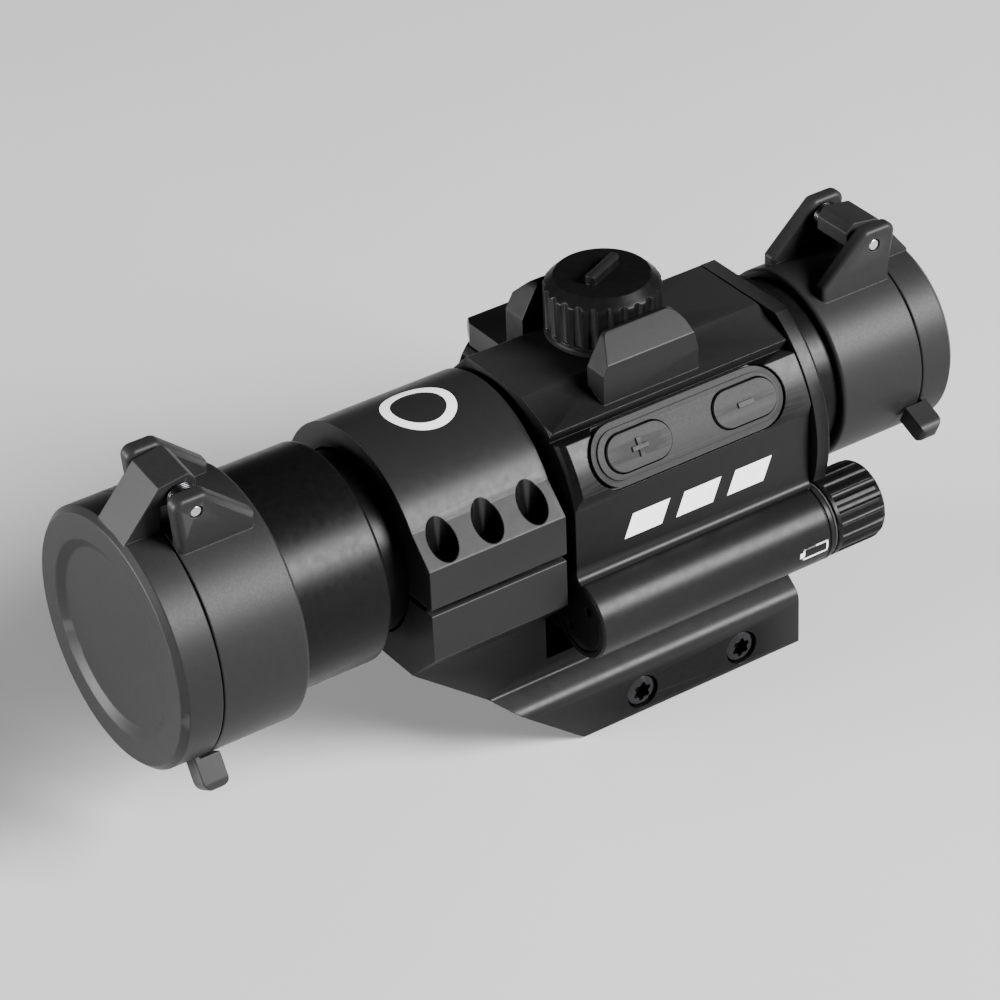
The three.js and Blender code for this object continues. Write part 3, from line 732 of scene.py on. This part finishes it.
def battery_cap():
    low, high, radius, ribs, groove_at = 22.0, cell_high.x, 6.7, 20, 7.05
    body = turned("x", rounded([
        (18.8, 5.45), (18.8, 6), (low, 6), (low, radius, 0.3), (high, radius, 1.6), (high, 0),
        (30.9, 0), (30.9, 3.6), (24.4, 3.6), (24.4, 5.45),
    ]), ON_CELL, 120)
    grooves = []
    for i in range(ribs):
        t = 2 * math.pi * i / ribs
        across, rise = groove_at * math.cos(t), groove_at * math.sin(t)
        spot = (0, CELL_Y + across, AXIS + CELL_Z + rise)
        grooves.append(rod("x", 0.8, low + 0.9, high + 1, spot, 16))
    return cut(body, *grooves)


piece(battery_cap(), "battery_tube_cap", "battery_cap", ANODISED, ["battery_cap"],
      0, 30)


# ---------- clamp ring and base ----------
RING_FRONT, RING_REAR = ring_low.x, ring_high.x
RING_R = ring_high.z - AXIS
RING_SIDE = ring_high.y
SHOULDER, SPLIT, FOOT = 5.2, -2.3, -11.2
SCREW_Y, PITCH = 18.5, 8.3
MIDDLE = (RING_FRONT + RING_REAR) / 2
SCREWS = [(MIDDLE + step * PITCH, sign * SCREW_Y) for step in (-1, 0, 1) for sign in (-1, 1)]


def ring_cap():
    body = prism("x", rounded([
        (-RING_SIDE, up(SPLIT + 0.5), 0.3), (-RING_SIDE, up(SHOULDER), 0.5), (-13.9, up(12.9)),
        (0, up(15)), (13.9, up(12.9)), (RING_SIDE, up(SHOULDER), 0.5),
        (RING_SIDE, up(SPLIT + 0.5), 0.3),
    ]), RING_FRONT, RING_REAR)
    dome = common(
        rod("x", RING_R, RING_FRONT, RING_REAR, ON_AXIS, SMOOTH),
        block((RING_FRONT - 1, RING_REAR + 1), (-WIDE, WIDE), (up(0), up(WIDE))),
    )
    tools = [rod("x", TUBE_R + 0.3, RING_FRONT - 1, RING_REAR + 1, ON_AXIS, SMOOTH)]
    for x, y in SCREWS:
        tools.append(rod("z", 1.65, up(SPLIT - 2), up(SHOULDER), (x, y, 0), 32))
        tools.append(rod("z", 2.45, up(SHOULDER - 3.2), up(20), (x, y, 0), 40))
    return cut(join(body, dome), *tools)


piece(ring_cap(), "ring_upper_half", "housing", ANODISED, ["ring_cap"], 0)


def socket_screw(x, y):
    seat = SHOULDER - 3.1
    head = turned("z", rounded([
        (-9.5, 0), (-9.5, 1.4), (seat, 1.4), (seat, 2.1), (seat + 2.2, 2.1, 0.35), (seat + 2.2, 0),
    ]), (x, y, AXIS), 40)
    return cut(head, rod("z", 1.15, up(seat + 0.9), up(seat + 3), (x, y, 0), 6))


for i, (x, y) in enumerate(SCREWS):
    piece(socket_screw(x, y), f"ring_bolt_{i + 1}", "housing", OXIDE,
          [f"ring_screw_{i + 1}"], 0, 40)


def mount_base():
    waist, side, shelf, waist_foot, bottom = 14.9, 18.5, 5.1, 7.9, base_low.z
    knee = FOOT - 6.2
    ring = prism("x", rounded([
        (-RING_SIDE, up(SPLIT - 0.5), 0.3), (-RING_SIDE, up(FOOT), 0.5), (-waist, up(knee)),
        (waist, up(knee)), (RING_SIDE, up(FOOT), 0.5), (RING_SIDE, up(SPLIT - 0.5), 0.3),
    ]), RING_FRONT, RING_REAR)
    body = prism("x", rounded([
        (-waist, up(FOOT - 6)), (-waist, waist_foot, 1), (-side, shelf, 3),
        (-side, bottom, 0.4), (side, bottom), (side, shelf, 3), (waist, waist_foot, 1),
        (waist, up(FOOT - 6)),
    ]), RING_FRONT, base_high.x)
    slope = 1.28
    wedge = prism("y", [
        (RING_FRONT - 5, up(knee)), (RING_FRONT, up(knee)),
        (RING_FRONT + slope * (up(knee) + 10), -10), (RING_FRONT - 5, -10),
    ], -WIDE, WIDE)
    tail = prism("y", [
        (base_high.x - 2.2, 11), (base_high.x + 0.1, 9.2), (base_high.x + 0.1, 12),
    ], -WIDE, WIDE)
    channel = prism("x", [
        (-8.3, 0), (-10.9, -2.75), (-9.1, bottom - 1), (30, bottom - 1), (30, 0),
    ], -60, 30)
    tools = [
        rod("x", TUBE_R + 0.3, RING_FRONT - 1, RING_REAR + 1, ON_AXIS, SMOOTH),
        block((RING_REAR - 0.1, base_high.x + 1), (-WIDE, WIDE), (10.9, 40)),
        tail, wedge, channel, block((-60, 30), (8.3, 30), (-10, shelf - 1.6)),
    ]
    for x in BOLT_XS:
        tools.append(rod("y", 2.65, -20, WIDE, (x, 0, BOLT_Z), 40))
        tools.append(rod("y", 3, -20, -15.5, (x, 0, BOLT_Z), 64))
    for x, y in SCREWS:
        tools.append(rod("z", 1.5, up(-10), up(0), (x, y, 0), 24))
    return cut(join(ring, body), *tools)


piece(mount_base(), "cantilever_base", "housing", ANODISED, ["mount_base"], 0)


def clamp_jaw():
    top = jaw_high.z
    section = rounded([
        (8.7, top), (8.7, 0.1), (11.2, -2.75), (9.3, jaw_low.z), (18.5, jaw_low.z, 0.5),
        (18.5, top, 0.5),
    ])
    body = prism("x", section, jaw_low.x, jaw_high.x)
    return cut(body, *[rod("y", 2.5, 5, WIDE, (x, 0, BOLT_Z), 40) for x in BOLT_XS])


piece(clamp_jaw(), "sliding_jaw", "clamp_jaw", ANODISED, ["clamp_jaw"], 0)


def clamp_screw(x):
    head = turned("y", rounded([
        (-15.6, 0), (-15.6, 2.75), (-18.0, 2.75, 0.3), (-18.35, 1.9), (-18.4, 0),
    ]), (x, 0, BOLT_Z), 72)
    shank = rod("y", 2.4, -16, 20, (x, 0, BOLT_Z), 40)
    socket = 1.25
    lobes = rod("y", socket, -20, -16.6, (x, 0, BOLT_Z), 40)
    for i in range(6):
        t = math.radians(60 * i + 20)
        spot = (x + socket * math.cos(t), 0, BOLT_Z + socket * math.sin(t))
        lobes = join(lobes, rod("y", 0.42, -20, -16.6, spot, 16))
    return cut(join(head, shank), lobes)


for i, x in enumerate(BOLT_XS):
    piece(clamp_screw(x), f"cross_bolt_{i + 1}", f"clamp_screw_{i + 1}", OXIDE,
          [f"clamp_screw_{i + 1}"], 0.08, 35, 2)


# ---------- flip-open lens caps ----------
def lens_cap(name, side, radius, bore, face, seam, end, pin, clock, tab, recess, window):
    """One flip cap. Side is the way it faces along X; clock and tab are angles about the axis."""
    pin_x, pin_z = pin
    pin_line = (pin_x, 0, pin_z)
    lift = AXIS + radius - pin_z
    outer = side * (face - pin_x)
    inner = side * (seam - pin_x)

    def outward(corners):
        return rounded([(pin_x + side * c[0], pin_z + c[1], *c[2:]) for c in corners], 8)

    def clocked(obj):
        return turn_about(obj, clock)

    pin_hole = rod("y", PIN_BORE, -9, 9, pin_line, 32)
    body = turned("x", rounded([
        (seam - side * 0.15, bore), (seam - side * 0.15, radius, 0.25), (end, radius, 0.8),
        (end, bore),
    ]), ON_AXIS)
    ear = outward([
        (inner - 0.3, lift - 3.2), (inner - 0.3, lift + 0.4), (inner + 1, 2.9, 1.6),
        (-1.6, 2.9, 1.6), (-10.4, -4.9, 0.9), (-10.4, lift - 3.2),
    ])
    ears = []
    for sign in (-1, 1):
        ears.append(soft_ear(prism("y", ear, *sorted((sign * EAR_INNER, sign * EAR_OUTER)))))
    bore_tool = rod("x", bore, min(seam, end) - 2, max(seam, end) + 2, ON_AXIS, SMOOTH)
    piece(clocked(cut(join(body, *ears), bore_tool, pin_hole)), name + "_cap_tube", "housing",
          PLASTIC, [name + "_cap_sleeve"], 0)

    skirt = turned("x", rounded([
        (face - side, 0), (face - side, recess - 1.6, 0.8), (face, recess, 0.8),
        (face, radius - 1, 0.3), (face - side, radius, 0.3), (seam, radius, 0.3),
        (seam, window), (face - side * 3, window), (face - side * 3, 0),
    ]), ON_AXIS)
    across = sorted((side * 3.0, -side * 4.6))
    tongue = soft_edges(prism("y", outward([
        (outer - 0.7, lift - 1.2), (outer - 0.7, lift - 0.3), (3.4, 2.3, 0.15), (-1.6, 3.1, 0.8),
        (-3, 1.6), (-3, -0.8), (0, -1.4), (inner, -1.4), (inner, lift - 1.2),
    ]), *across), 0.2)
    knuckle = rod("y", 2.6, *across, pin_line, 64)
    root, tip = seam + side * 1.1, seam - side * 3.4
    slab = soft_edges(prism("y", rounded([
        (root, radius - 1.1), (root, radius + TAB_TOP, 2), (tip, radius + TAB_TOP, 1.4),
        (tip, radius + 0.4), (seam + side * 0.1, radius + 0.4), (seam + side * 0.1, radius - 1.1),
    ]), -TAB_HALF, TAB_HALF), 0.2)
    tab_ends = prism("x", rounded([
        (-TAB_HALF, radius - 2), (-TAB_HALF, radius + TAB_TOP, 1.5),
        (TAB_HALF, radius + TAB_TOP, 1.5), (TAB_HALF, radius - 2),
    ], 8), *sorted((root + side, tip - side)))
    slab = common(slab, tab_ends)
    move(slab, Matrix.Translation((0, 0, AXIS)) @ Matrix.Rotation(math.radians(tab), 4, "X"))
    lid = cut(join(skirt, tongue, knuckle, slab), rod("y", PIN_BORE, -9, 9, pin_line, 32))
    piece(clocked(triangulated(lid)), name + "_cap_lid", name + "_lid", PLASTIC,
          [name + "_lid"], 0)

    pin_rod = turned("y", rounded([
        (-PIN_HALF, 0), (-PIN_HALF, PIN_R, 0.2), (PIN_HALF, PIN_R, 0.2), (PIN_HALF, 0),
    ]), pin_line, 32)
    piece(clocked(pin_rod), name + "_pin_rod", "housing", STEEL,
          [name + "_hinge_pin"], 0)
    piece(clocked(coil(pin_x, pin_z, side)), name + "_torsion_coil", "housing",
          OXIDE, [name + "_lid_spring"], 0, 60)


def coil(pin_x, pin_z, side):
    """Torsion spring: turns of wire round the hinge pin, between the tongue and one ear."""
    wire, turns, per_turn, sides = 0.19, 4, 40, 10
    radius, spacing = 2.2, 0.35
    low = min(side * 3.4, side * 4.8)
    middles = []
    for i in range(turns * per_turn + 1):
        t = 2 * math.pi * i / per_turn
        y = low + spacing * i / per_turn
        middles.append(Vector((pin_x + radius * math.cos(t), y, pin_z + radius * math.sin(t))))

    def build(bm):
        rings = []
        for i, spot in enumerate(middles):
            t = 2 * math.pi * i / per_turn
            out = Vector((math.cos(t), 0, math.sin(t)))
            along = Vector((0, 1, 0))
            ring = []
            for k in range(sides):
                a = 2 * math.pi * k / sides
                ring.append(bm.verts.new(spot + wire * (out * math.cos(a) + along * math.sin(a))))
            rings.append(ring)
        for a, b in zip(rings, rings[1:]):
            for k in range(sides):
                j = (k + 1) % sides
                bm.faces.new((a[k], a[j], b[j], b[k]))
        bm.faces.new(rings[0])
        bm.faces.new(rings[-1])

    return to_object("coil", build)


lens_cap(
    "front", side=-1, radius=21.3, bore=18.4, face=-94.9, seam=-88.0, end=-72.7,
    pin=(-85.0, 63.2), clock=9.5, tab=140.5, recess=16.2, window=18.8,
)
lens_cap(
    "rear", side=1, radius=16.5, bore=15.2, face=55.7, seam=49.0, end=32.5,
    pin=(45.3, 57.7), clock=0, tab=114, recess=12.6, window=15.4,
)


# ---------- printed marks ----------
def flat_print(name, outlines):
    """White marks on the drum's flat near side, from (x, z) outlines."""

    def build(bm):
        for points in outlines:
            rings = []
            for y in (-SIDE - PRINT_LIFT, -SIDE + 0.02):
                rings.append([bm.verts.new((x, y, up(z))) for x, z in points])
            bm.faces.new(rings[0])
            bm.faces.new(rings[1])
            for i in range(len(points)):
                j = (i + 1) % len(points)
                bm.faces.new((rings[0][i], rings[0][j], rings[1][j], rings[1][i]))

    piece(to_object("print", build), name, "housing", WHITE, None, 0)


def slanted_bars():
    bars = []
    lean, length, low, high = 1.7, 7.2, -3.1, 1.0
    for start in (-15.2, -5.2, 4.8):
        bars.append([
            (start, low), (start + length, low), (start + length + lean, high),
            (start + lean, high),
        ])
    return bars


flat_print("side_bars", slanted_bars())


def ring_mark():
    """A plain ring printed on top of the clamp ring's dome."""
    middle, outer, inner, steps = -38.1, 6.0, 4.4, 72
    dome, half = 19.5, 0.05

    def build(bm):
        def loop(radius, lift):
            verts = []
            for i in range(steps):
                turn = 2 * math.pi * i / steps
                lean = radius * math.sin(turn) / dome
                r = dome + lift
                verts.append(bm.verts.new((
                    middle + radius * math.cos(turn), r * math.sin(lean),
                    AXIS + r * math.cos(lean),
                )))
            return verts

        loops = [loop(outer, half), loop(inner, half), loop(inner, -half), loop(outer, -half)]
        for here, there in zip(loops, loops[1:] + loops[:1]):
            for i in range(steps):
                j = (i + 1) % steps
                bm.faces.new((here[i], here[j], there[j], there[i]))

    piece(to_object("print", build), "ring_mark", "housing", WHITE, None, 0)


ring_mark()


def on_cell_tube(points, lift):
    """Puts (x, run) points on the battery tube's surface; run is the distance round the tube."""
    placed = []
    for x, run in points:
        angle = math.radians(180) + run / CELL_R
        r = CELL_R + lift
        placed.append((x, CELL_Y + r * math.cos(angle), AXIS + CELL_Z + r * math.sin(angle)))
    return placed


def battery_outline():
    """Outline of a battery: a rectangle with a small terminal at its front end."""
    x0, x1, low, high, line = 14.7, 19.7, -0.4, 1.8, 0.32

    def build(bm):
        def strip(a0, a1, b0, b1):
            steps = max(1, int((b1 - b0) / 0.3))
            for k in range(steps):
                c0 = b0 + (b1 - b0) * k / steps
                c1 = b0 + (b1 - b0) * (k + 1) / steps
                corners = [(a0, c0), (a1, c0), (a1, c1), (a0, c1)]
                outer = [bm.verts.new(p) for p in on_cell_tube(corners, PRINT_LIFT)]
                inner = [bm.verts.new(p) for p in on_cell_tube(corners, -0.05)]
                bm.faces.new(outer)
                bm.faces.new(inner[::-1])
                for i in range(4):
                    j = (i + 1) % 4
                    bm.faces.new((outer[i], outer[j], inner[j], inner[i]))

        strip(x0, x1, low, low + line)
        strip(x0, x1, high - line, high)
        strip(x0, x0 + line, low, high)
        strip(x1 - line, x1, low, high)
        strip(x0 - 0.6, x0, low + 0.6, high - 0.6)

    piece(to_object("print", build), "battery_mark", "housing", WHITE, None, 0, 60)


battery_outline()


# ---------- carried-over CAD nodes inside the body ----------
INNER = {
    ANODISED: ["inner_tube", "emitter_holder"],
    RUBBER: ["objective_seal", "elevation_cap_seal", "windage_cap_seal", "battery_cap_seal"],
    STEEL: ["centring_spring", "plus_switch", "minus_switch", "battery_spring"],
    BRASS: ["gimbal_ring", "led_emitter", "front_contact"],
    BOARD: ["control_board"],
    FOIL: ["battery_cell"],
}
for material, names in INNER.items():
    for name in names:
        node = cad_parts[name]
        node.data.materials.clear()
        node.data.materials.append(material)


# ---------- floor, light and camera ----------
def floor():
    gap = 0.0002
    low = min(cad_box[0][2], cad_box[1][2]) - gap
    mesh = bpy.data.meshes.new("floor")
    size = 6.0
    corners = [(-size, -size, low), (size, -size, low), (size, size, low), (-size, size, low)]
    mesh.from_pydata(corners, [], [(0, 1, 2, 3)])
    obj = bpy.data.objects.new("floor", mesh)
    bpy.context.scene.collection.objects.link(obj)
    material, nodes, links, bsdf = shader("pale_floor", (0.5, 0.5, 0.5), 0.9, 0.0, 0.0)
    spread(nodes, links, noise(nodes, links, 8.0), (0.49, 0.49, 0.49), (0.51, 0.51, 0.51),
           bsdf.inputs["Base Color"])
    mesh.materials.append(material)


def softbox(name, direction, distance, size, power):
    aim = (0, 0, 0.03)
    data = bpy.data.lights.new(name, "AREA")
    data.shape = "RECTANGLE"
    data.size, data.size_y = size
    data.energy = power
    light = bpy.data.objects.new(name, data)
    bpy.context.scene.collection.objects.link(light)
    toward = Vector(direction).normalized()
    light.location = Vector(aim) + toward * distance
    light.rotation_euler = toward.to_track_quat("Z", "Y").to_euler()


def camera():
    azimuth, elevation, roll = (math.radians(a) for a in (-33.51, 33.41, -2.39))
    distance, lens_mm = 0.66309, 151.05
    aim = Vector((-0.02417, -0.00063, 0.03283))
    back = Vector((
        math.sin(azimuth) * math.cos(elevation),
        -math.cos(azimuth) * math.cos(elevation),
        math.sin(elevation),
    ))
    right = (-back).cross(Vector((0, 0, 1))).normalized()
    upward = back.cross(right)
    level = Matrix((right, upward, back)).transposed().to_4x4()
    data = bpy.data.cameras.new("camera")
    data.lens = lens_mm
    data.sensor_width = 36
    data.clip_start = 0.05
    obj = bpy.data.objects.new("camera", data)
    bpy.context.scene.collection.objects.link(obj)
    tilt = Matrix.Rotation(roll, 4, "Z")
    obj.matrix_world = Matrix.Translation(aim + back * distance) @ level @ tilt
    bpy.context.scene.camera = obj


floor()
softbox("key", (0.46, -0.72, 0.51), 1.2, (0.6, 0.42), 62)
softbox("fill", (-1.0, 0.3, 0.06), 1.4, (0.9, 0.6), 105)
world = bpy.data.worlds.new("studio")
world.use_nodes = True
world.node_tree.nodes["Background"].inputs["Color"].default_value = (0.9, 0.93, 1, 1)
world.node_tree.nodes["Background"].inputs["Strength"].default_value = 0.05
bpy.context.scene.world = world
camera()
